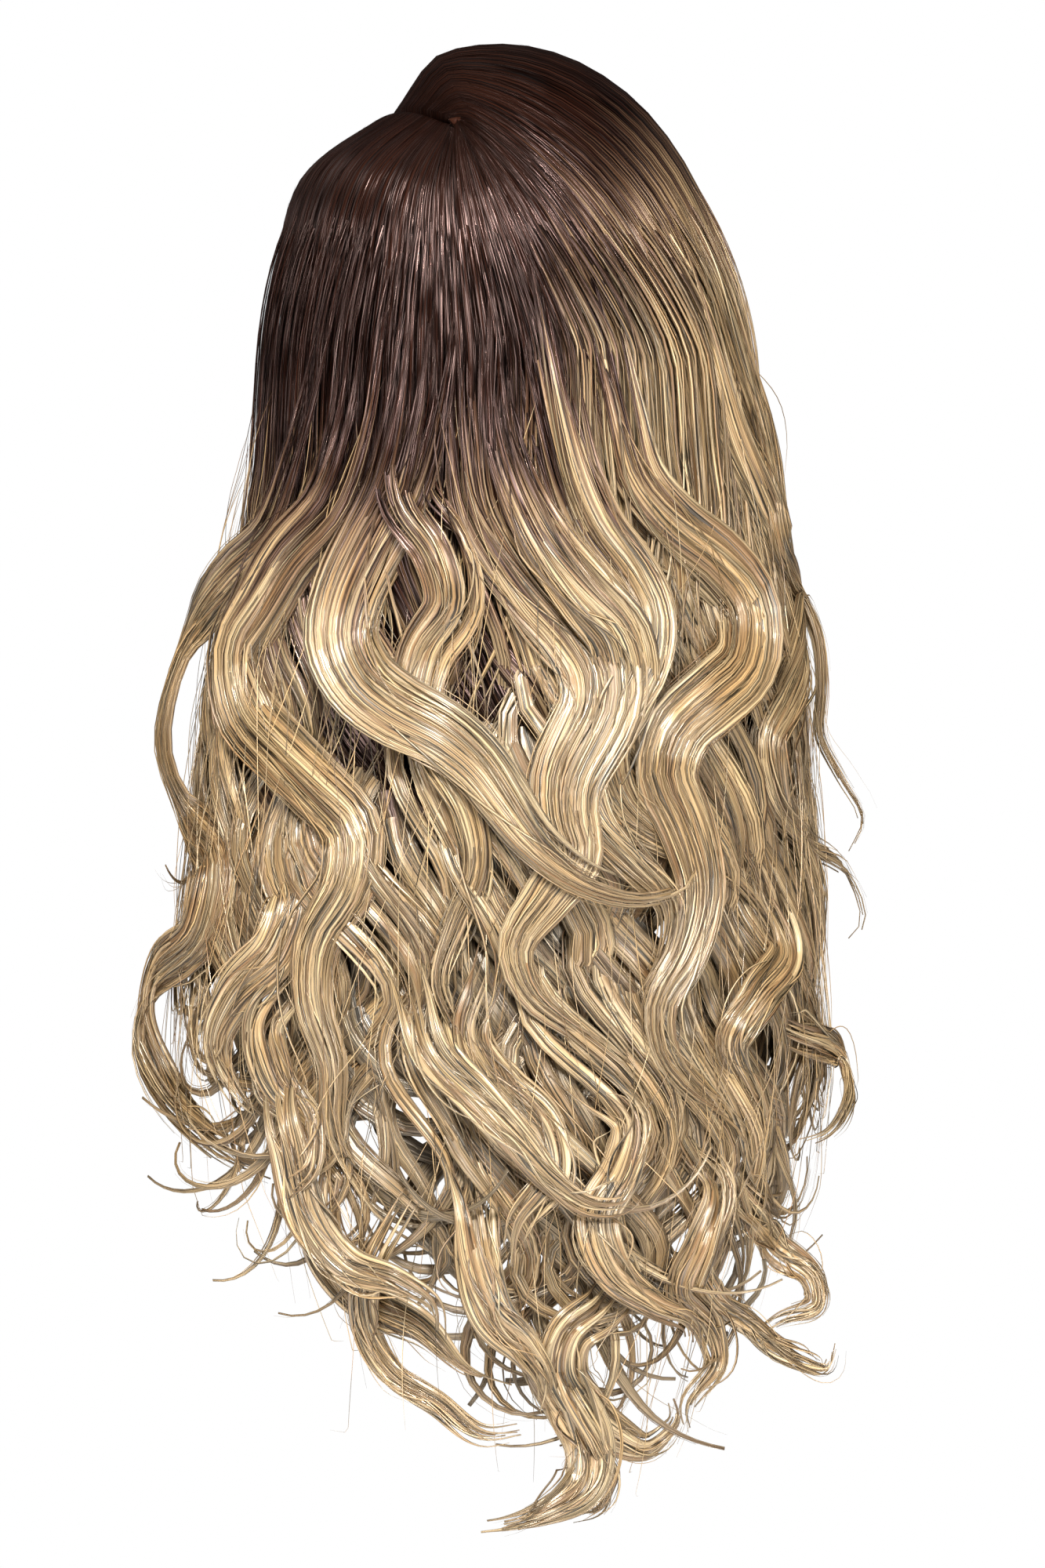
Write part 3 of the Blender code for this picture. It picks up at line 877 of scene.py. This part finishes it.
for group in GROUPS:
    bodies, wisps = [], []
    clumps = max(2, round((group.last - group.first) / CLUMP_AZIMUTH))
    clump_width = (group.last - group.first) / clumps
    for layer in LAYERS:
        for clump in range(clumps):
            middle = group.first + clump_width * (clump + layer.shift)
            middle = min(max(middle, LEFT_FRONT + CLUMP_MARGIN), RIGHT_FRONT - CLUMP_MARGIN)
            phase = chance.normal(0, 0.18) + layer.depth_share
            swing = chance.uniform(0.011, 0.022)
            stretch = chance.uniform(0.92, 1.10)
            side_turn = chance.choice((-1, 1)) * chance.uniform(100, 260)
            for lock in range(layer.locks):
                spread = (lock + 0.5) / layer.locks - 0.5
                azimuth = middle + spread * clump_width * CLUMP_SPREAD
                azimuth = min(max(azimuth, LEFT_FRONT + LOCK_MARGIN), RIGHT_FRONT - LOCK_MARGIN)
                inside = 1 - smooth_share(azimuth, DARK_INSIDE_FULL, DARK_INSIDE_END)
                start = layer.start + chance.uniform(-0.20, 0.20)
                points, outs = lock_line(
                    azimuth,
                    middle + spread * clump_width * CLUMP_GATHER + chance.normal(0, 1.2),
                    tip_drop(middle) * chance.uniform(0.86, 1.0) * layer.length,
                    hair_depth(azimuth) * layer.depth_share + chance.uniform(-0.001, 0.0015),
                    swing * chance.uniform(0.85, 1.15),
                    chance.uniform(0.006, 0.009),
                    phase + chance.normal(0, 0.06),
                    stretch,
                    start,
                    LOCK_RINGS,
                    (
                        side_turn * chance.uniform(0.6, 1.2),
                        chance.uniform(-40, 12),
                        chance.uniform(0.6, 1.0) * group.curl,
                    ),
                )
                share = np.linspace(0, 1, LOCK_RINGS)
                body = Strip(
                    points,
                    outs,
                    layer.half_width * chance.uniform(0.75, 1.2) * worn(share, 0.30, 0.58, 0.12),
                    layer.half_depth * worn(share, 0.20, 0.7, 0.2),
                    root_arc(azimuth, start),
                    dark_length(azimuth) + layer.dark_more * inside + chance.normal(0, 0.008),
                    chance.uniform(0.0, 1.0),
                    layer.shade * chance.uniform(0.72, 1.12),
                    np.sin(share * 20 + chance.uniform(0, 6)) * 0.4 * smooth_share(share, 0.3, 0.5),
                )
                bodies.append(body)
                wisps += wisps_on(body, layer.wisps)
    new_locks(group.piece, bodies, wisps, group.node)

# Top locks
# The locks that lie on top of the back, each a wide ribbon of a few bundles that swing across
# each other. Their ways come from the photograph, given in its pixels.
RIBBON_RISE = 0.012
RIBBON_CLEAR = 0.003
RIBBON_ROUND = 0.0020
RIBBON_DEPTH = 0.0011
RIBBON_ROOT = 0.2
STEEPEST = 0.60
SMOOTH_SPAN = 7
SMOOTH_PASSES = 3
START_DEPTH = 0.010
START_RUN = 0.26
LOW_DROPS = (0.34, 0.44)
LOW_BACKS = (-0.06, 0.055)
TopLock = namedtuple("TopLock", "half_width proud pixels")
LONG_LOCKS = (
    TopLock(0.012, 0.001, (
        (490, 250), (452, 340), (430, 430), (400, 560), (360, 685), (312, 736), (266, 806), (230, 883),
        (216, 959), (244, 1040), (278, 1110), (268, 1180), (206, 1262), (184, 1325), (200, 1390),
        (250, 1451), (306, 1488), (350, 1505),
    )),
    TopLock(0.013, 0.003, (
        (520, 230), (490, 320), (470, 420), (455, 540), (424, 647), (373, 710), (341, 768), (306, 832),
        (309, 895), (354, 959), (405, 1010), (450, 1060), (445, 1130), (405, 1200), (400, 1280),
        (424, 1360), (424, 1444), (456, 1508), (494, 1559), (558, 1597),
    )),
    TopLock(0.014, 0.005, (
        (570, 230), (555, 330), (545, 430), (530, 540), (507, 628), (470, 700), (446, 755), (437, 815),
        (462, 870), (510, 910), (565, 940), (609, 978), (641, 1023), (679, 1074), (743, 1125),
        (820, 1144), (872, 1122), (880, 1085),
    )),
    TopLock(0.014, 0.004, (
        (592, 220), (600, 320), (605, 420), (604, 490), (609, 564), (622, 647), (654, 704), (692, 755),
        (737, 806), (764, 857), (762, 908), (743, 946), (722, 997), (722, 1042), (735, 1090),
        (700, 1150), (662, 1208), (679, 1266), (724, 1304), (788, 1342), (822, 1374), (839, 1425),
    )),
    TopLock(0.012, 0.003, (
        (630, 210), (662, 300), (680, 380), (695, 460), (711, 538), (730, 608), (762, 679), (801, 730),
        (826, 787), (820, 844), (788, 908), (775, 965), (794, 1023), (845, 1068), (903, 1093),
        (954, 1131), (985, 1190), (975, 1250),
    )),
    TopLock(0.014, 0.004, (
        (670, 200), (715, 280), (745, 360), (768, 450), (788, 538), (807, 608), (858, 672), (915, 717),
        (954, 774), (947, 844), (903, 889), (858, 934), (845, 985), (872, 1050), (892, 1130),
        (871, 1221), (839, 1279), (845, 1342), (877, 1387), (928, 1425), (954, 1460), (945, 1500),
    )),
    TopLock(0.012, 0.002, (
        (760, 180), (825, 240), (870, 320), (905, 450), (934, 564), (960, 628), (985, 691), (1011, 768),
        (1011, 838), (992, 895), (973, 946), (985, 1010), (1030, 1075), (1082, 1125), (1092, 1175),
        (1050, 1215),
    )),
    TopLock(0.005, 0.001, (
        (860, 230), (915, 350), (945, 470), (970, 590), (985, 690), (1004, 755), (1030, 819),
        (1036, 883), (1030, 934), (1058, 997), (1090, 1048), (1076, 1090),
    )),
    TopLock(0.010, 0.003, (
        (610, 330), (625, 450), (640, 560), (668, 640), (700, 700), (745, 760), (790, 815), (800, 880),
        (770, 940), (740, 990), (756, 1050), (800, 1100), (850, 1160), (840, 1230), (800, 1290),
    )),
    TopLock(0.010, 0.002, (
        (520, 420), (510, 540), (520, 640), (560, 700), (575, 770), (540, 830), (530, 890), (560, 960),
        (600, 1030), (610, 1110), (580, 1180), (560, 1250), (590, 1320),
    )),
)
LOW_LOCKS = (
    TopLock(0.007, 0.003, (
        (290, 1110), (262, 1170), (215, 1230), (195, 1300), (210, 1370), (250, 1430), (310, 1470),
    )),
    TopLock(0.009, 0.005, (
        (500, 1180), (533, 1266), (558, 1342), (609, 1400), (660, 1457), (705, 1508), (755, 1540),
        (800, 1534), (815, 1505),
    )),
    TopLock(0.009, 0.005, (
        (700, 1330), (760, 1390), (800, 1430), (790, 1490), (760, 1550), (780, 1620), (832, 1660),
        (880, 1690), (884, 1730),
    )),
    TopLock(0.006, 0.004, (
        (955, 1270), (1005, 1310), (1056, 1355), (1075, 1406), (1062, 1444), (1017, 1464),
    )),
    TopLock(0.006, 0.003, (
        (930, 1480), (960, 1546), (998, 1591), (1036, 1629), (1030, 1661), (979, 1680), (941, 1706),
    )),
    TopLock(0.005, 0.002, (
        (880, 1540), (900, 1640), (947, 1690), (1000, 1732), (1036, 1744), (1052, 1705),
    )),
    TopLock(0.008, 0.004, (
        (860, 1400), (884, 1457), (915, 1508), (890, 1585), (871, 1642), (905, 1693), (909, 1738),
        (875, 1789), (884, 1827),
    )),
    TopLock(0.010, 0.005, (
        (820, 1600), (770, 1668), (728, 1700), (718, 1750), (743, 1795), (788, 1834), (832, 1846),
        (860, 1814), (850, 1772),
    )),
    TopLock(0.010, 0.004, (
        (660, 1640), (680, 1690), (700, 1740), (730, 1795), (750, 1846), (743, 1891), (692, 1926),
        (640, 1943), (612, 1947),
    )),
    TopLock(0.005, 0.003, ((700, 1690), (725, 1770), (762, 1840), (778, 1891), (768, 1922), (730, 1932))),
    TopLock(0.009, 0.004, (
        (360, 1300), (355, 1380), (375, 1460), (400, 1550), (450, 1610), (510, 1632), (555, 1665),
        (560, 1710),
    )),
    TopLock(0.008, 0.003, (
        (470, 1380), (430, 1450), (415, 1530), (425, 1610), (470, 1670), (530, 1700), (597, 1751),
        (654, 1763),
    )),
    TopLock(0.006, 0.002, (
        (540, 1480), (500, 1550), (470, 1620), (468, 1690), (500, 1750), (560, 1790), (620, 1830),
        (668, 1826),
    )),
    TopLock(0.009, 0.004, (
        (570, 1450), (597, 1534), (609, 1610), (635, 1674), (673, 1712), (700, 1765), (690, 1810),
    )),
    TopLock(0.009, 0.004, (
        (400, 1190), (372, 1250), (340, 1310), (350, 1380), (400, 1440), (405, 1490), (370, 1530),
    )),
    TopLock(0.009, 0.004, (
        (640, 1180), (620, 1250), (600, 1320), (640, 1390), (690, 1440), (700, 1500), (660, 1560),
        (650, 1620),
    )),
    TopLock(0.009, 0.004, (
        (960, 1080), (990, 1140), (1000, 1210), (960, 1270), (930, 1330), (960, 1390), (1010, 1430),
    )),
    TopLock(0.009, 0.003, (
        (300, 1000), (330, 1080), (372, 1140), (360, 1210), (310, 1270), (280, 1340), (300, 1400),
        (350, 1440),
    )),
)


def surface_back(x, z):
    """How far back the outside of the hair is at a place seen from behind."""
    if z > -HANG_DROP:
        lift = SEAT_LIFT + BACK_LIFT
        level = (z - HEAD_CENTRE.z) / (HEAD_RADII.z + lift)
        flat = 1 - (x / (HEAD_RADII.x + lift)) ** 2 - level**2
        return (HEAD_RADII.y + lift) * math.sqrt(max(0.02, flat))
    azimuths = range(BACK_FIRST, BACK_LAST, 6)
    round_back = [hang_place(azimuth, min(-z, LONGEST_DROP))[0] for azimuth in azimuths]
    across = [p.x for p in reversed(round_back)]
    back = [p.y for p in reversed(round_back)]
    return max(float(np.interp(x, across, back)), float(np.interp(-z, LOW_DROPS, LOW_BACKS)))


def smooth_path(corners, rings):
    """Evenly spaced points on a smooth path through its corners."""
    corners = np.array(corners)
    reach = arc_lengths(corners)
    slopes = np.gradient(corners, reach, axis=0)
    at = np.linspace(0, reach[-1], rings)
    row = np.clip(np.searchsorted(reach, at, side="right") - 1, 0, len(corners) - 2)
    span = (reach[row + 1] - reach[row])[:, None]
    t = (at - reach[row])[:, None] / span
    return eased(t, corners[row], slopes[row] * span, corners[row + 1], slopes[row + 1] * span)


def seen_place(pixel, proud):
    """The place on the outside of the hair that the photograph shows at a pixel."""
    across, down = pixel
    y = OBJECT_BACK
    for _ in range(3):
        scale = pixel_size(y)
        x = CENTRE_X + (PHOTO_WIDTH / 2 - across) * scale
        z = CENTRE_Z + (PHOTO_HEIGHT / 2 - down) * scale
        y = surface_back(x, z) + proud
    return x, y, z


def top_locks(name, locks, bundles, wisps_each):
    bodies, wisps = [], []
    share = np.linspace(0, 1, LOCK_RINGS)
    for top in locks:
        path = smooth_path([seen_place(pixel, top.proud) for pixel in top.pixels], LOCK_RINGS)
        ways = np.gradient(path, axis=0)
        ways /= np.linalg.norm(ways, axis=1, keepdims=True)
        outs = path * (0.35, 1.0, 0.0)
        outs /= np.linalg.norm(outs, axis=1, keepdims=True)
        hand = chance.choice((-1, 1))
        rise = hand * RIBBON_RISE * np.clip(ways[:, 0], -STEEPEST, STEEPEST)
        for _ in range(SMOOTH_PASSES):
            padded = np.pad(rise, SMOOTH_SPAN // 2, mode="edge")
            rise = np.convolve(padded, np.ones(SMOOTH_SPAN) / SMOOTH_SPAN, "valid")
        path = path + outs * (rise + RIBBON_CLEAR)[:, None]
        across, _ = frames(path, outs, np.zeros(LOCK_RINGS))
        dark = RIBBON_ROOT + PIXEL * dark_above(*top.pixels[0])
        for bundle in range(bundles):
            aside = ((bundle + 0.5) / bundles - 0.5) * 2
            spread = 1 - 0.8 * smooth_share(share, 0.45, 1.0)
            sway = chance.normal(0, 0.0018) * np.sin(share * chance.uniform(3, 9) + chance.uniform(0, 6))
            drift = aside * spread * top.half_width + sway
            sunk = chance.uniform(-0.0006, 0.0006) - RIBBON_ROUND * aside**2
            begin, end = chance.uniform(0.0, 0.16), chance.uniform(0.88, 1.0)
            sunk = sunk - (START_DEPTH + top.proud) * (1 - smooth_share(share, begin, begin + START_RUN))
            centre = path + across * drift[:, None] + outs * sunk[:, None]
            kept = begin + share * (end - begin)
            body = Strip(
                resampled(centre, share, kept),
                outs,
                top.half_width * chance.uniform(0.24, 0.38) * worn(share, 0.42, 0.60, 0.12),
                RIBBON_DEPTH * worn(share, 0.3, 0.7, 0.2),
                RIBBON_ROOT + begin * arc_lengths(path)[-1],
                dark + chance.normal(0, 0.010),
                chance.uniform(0, 1),
                chance.uniform(0.86, 1.10),
                aside * 0.25 + 0.10 * np.sin(share * 11 + chance.uniform(0, 6)),
            )
            bodies.append(body)
            wisps += wisps_on(body, wisps_each)
    new_locks(name, bodies, wisps)


top_locks("long_top_locks", LONG_LOCKS, 8, 12)
top_locks("low_top_locks", LOW_LOCKS, 6, 8)

# Crown wisps
# Wisps and single fibres combed from the parting over the crown and down into the lengths.
CROWN_WISPS = 760
COMBED_RINGS = 26
COMBED_SWING = 0.012
COMBED_BULGE = 0.003
COMBED_PROUD = 0.0004
COMBED_MERGE = 0.6
strips = []
for _ in range(CROWN_WISPS):
    azimuth = chance.uniform(LEFT_FRONT + 1, RIGHT_FRONT - 1)
    single = chance.uniform() < 0.5
    start = chance.uniform(0.0, 0.5)
    points, outs = lock_line(
        azimuth,
        azimuth + chance.normal(0, 2.0),
        chance.uniform(0.13, 0.30),
        hair_depth(azimuth) * chance.uniform(0.0, 0.25),
        COMBED_SWING,
        COMBED_BULGE,
        chance.normal(0, 0.12) + 0.2,
        1.0,
        start,
        COMBED_RINGS,
        below=-COMBED_PROUD,
        merge=COMBED_MERGE,
    )
    share = np.linspace(0, 1, COMBED_RINGS)
    width = chance.uniform(0.00012, 0.00020) if single else chance.uniform(0.0006, 0.0013)
    depth = width if single else chance.uniform(0.0002, 0.0004)
    strips.append(
        Strip(
            points,
            outs,
            width * worn(share, 0.2, 0.55, 0.1),
            depth * worn(share, 0.2, 0.55, 0.1),
            root_arc(azimuth, start),
            dark_length(azimuth) + chance.normal(0, 0.012),
            chance.uniform(0, 1),
            chance.uniform(0.7, 1.5),
            np.zeros(COMBED_RINGS),
        )
    )
new_piece("crown_wisps", swept("crown_wisps", strips, WISP_SIDES), fibre, "hair_roots")

# Stray hairs
# Single hairs that have come loose. They cross the others and stand off them by a few
# millimetres, and some run on past the ends of the lengths.
STRAY_HAIRS = 440
STRAY_RINGS = 22
STRAY_SWAY = 3.0
STRAY_RIPPLE = 0.002
strips = []
for _ in range(STRAY_HAIRS):
    azimuth = chance.uniform(70, 295)
    top = chance.uniform(0.11, tip_drop(azimuth) * 0.78)
    length = chance.uniform(0.07, 0.20)
    drift = chance.normal(0, 12)
    phase = chance.uniform(0, 6.28)
    turns = chance.uniform(1.5, 6.0)
    lift = chance.uniform(0.0, 0.006)
    points, outs = [], []
    for ring in range(STRAY_RINGS):
        share = ring / (STRAY_RINGS - 1)
        here = azimuth + drift * share + STRAY_SWAY * math.sin(phase + turns * share)
        here = min(max(here, LEFT_FRONT + CLUMP_MARGIN), RIGHT_FRONT - CLUMP_MARGIN)
        point, out = hang_place(here, min(tip_drop(azimuth), top + length * share))
        ripple = STRAY_RIPPLE * math.cos(phase + 5 * share)
        points.append(tuple(point + out * (lift * math.sin(math.pi * share) + ripple)))
        outs.append(tuple((out + OUT_TILT).normalized()))
    share = np.linspace(0, 1, STRAY_RINGS)
    width = chance.uniform(0.00012, 0.00020) * worn(share, 0.1, 0.7, 0.2)
    strips.append(
        Strip(
            np.array(points),
            np.array(outs),
            width,
            width,
            top + 0.05,
            dark_length(azimuth) - 0.03,
            chance.uniform(0, 1),
            chance.uniform(1.0, 1.6),
            np.zeros(STRAY_RINGS),
        )
    )
new_piece("stray_hairs", swept("stray_hairs", strips, WISP_SIDES), fibre, "hair_lengths")

# Floor, light and camera
# A pale floor well below the held-up wig, soft boxes round it, and a long lens behind it.
FLOOR_DROP = 0.80
FLOOR_RADIUS = 1.4
FLOOR_SIDES = 96
FLOOR_PAINT = (0.9, 0.9, 0.9, 1)
FLOOR_ROUGHNESS = 0.9
WORLD_LIGHT = 0.24
WORLD_GLOSS = 0.06
LIGHT_AIM = Vector((0, 0, -0.22))
SENSOR_WIDTH = 36.0

floor_maker = bmesh.new()
bmesh.ops.create_circle(
    floor_maker,
    cap_ends=True,
    segments=FLOOR_SIDES,
    radius=FLOOR_RADIUS,
    matrix=Matrix.Translation((0, 0, -FLOOR_DROP)),
)
floor_mesh = bpy.data.meshes.new("floor")
floor_maker.to_mesh(floor_mesh)
floor_maker.free()
floor = bpy.data.objects.new("floor", floor_mesh)
bpy.context.scene.collection.objects.link(floor)
floor_paint = bpy.data.materials.new("pale_floor")
floor_paint.use_nodes = True
floor_finish = floor_paint.node_tree.nodes["Principled BSDF"]
floor_finish.inputs["Base Color"].default_value = FLOOR_PAINT
floor_finish.inputs["Roughness"].default_value = FLOOR_ROUGHNESS
floor_mesh.materials.append(floor_paint)

world = bpy.data.worlds.new("white_room")
bpy.context.scene.world = world
world.use_nodes = True
nodes, links = world.node_tree.nodes, world.node_tree.links
backdrop = nodes["Background"]
backdrop.inputs["Color"].default_value = (1, 1, 1, 1)
ray = nodes.new("ShaderNodeLightPath")
dimmed = nodes.new("ShaderNodeMapRange")
dimmed.inputs["To Min"].default_value = WORLD_LIGHT
dimmed.inputs["To Max"].default_value = WORLD_GLOSS
links.new(ray.outputs["Is Glossy Ray"], dimmed.inputs["Value"])
seen = nodes.new("ShaderNodeMapRange")
seen.inputs["To Max"].default_value = 1.0
links.new(dimmed.outputs["Result"], seen.inputs["To Min"])
links.new(ray.outputs["Is Camera Ray"], seen.inputs["Value"])
links.new(seen.outputs["Result"], backdrop.inputs["Strength"])

SoftBox = namedtuple("SoftBox", "name place size power")
SOFT_BOXES = (
    SoftBox("key_light", (0.35, 2.1, 1.50), 0.42, 104),
    SoftBox("low_light", (-0.5, 2.6, 0.45), 0.6, 42),
    SoftBox("right_light", (-1.9, 1.2, 0.4), 0.8, 26),
    SoftBox("left_light", (1.9, 1.2, 0.3), 0.8, 16),
    SoftBox("front_light", (0.4, -2.3, 0.5), 1.0, 60),
)
for box in SOFT_BOXES:
    lamp = bpy.data.lights.new(box.name, "AREA")
    lamp.shape = "SQUARE"
    lamp.size = box.size
    lamp.energy = box.power
    light = bpy.data.objects.new(box.name, lamp)
    bpy.context.scene.collection.objects.link(light)
    light.location = box.place
    light.visible_glossy = box.place[1] > 0
    aim = LIGHT_AIM - light.location
    light.rotation_euler = aim.to_track_quat("-Z", "Y").to_euler()

camera_data = bpy.data.cameras.new("camera")
camera = bpy.data.objects.new("camera", camera_data)
bpy.context.scene.collection.objects.link(camera)
bpy.context.scene.camera = camera
camera_data.sensor_width = SENSOR_WIDTH
camera_data.lens = SENSOR_WIDTH * (CAMERA_BACK - OBJECT_BACK) / (PHOTO_HEIGHT * PIXEL)
camera.location = (CENTRE_X, CAMERA_BACK, CENTRE_Z)
camera.rotation_euler = (math.radians(90), 0, math.radians(180))
bpy.context.scene.view_settings.view_transform = "Standard"
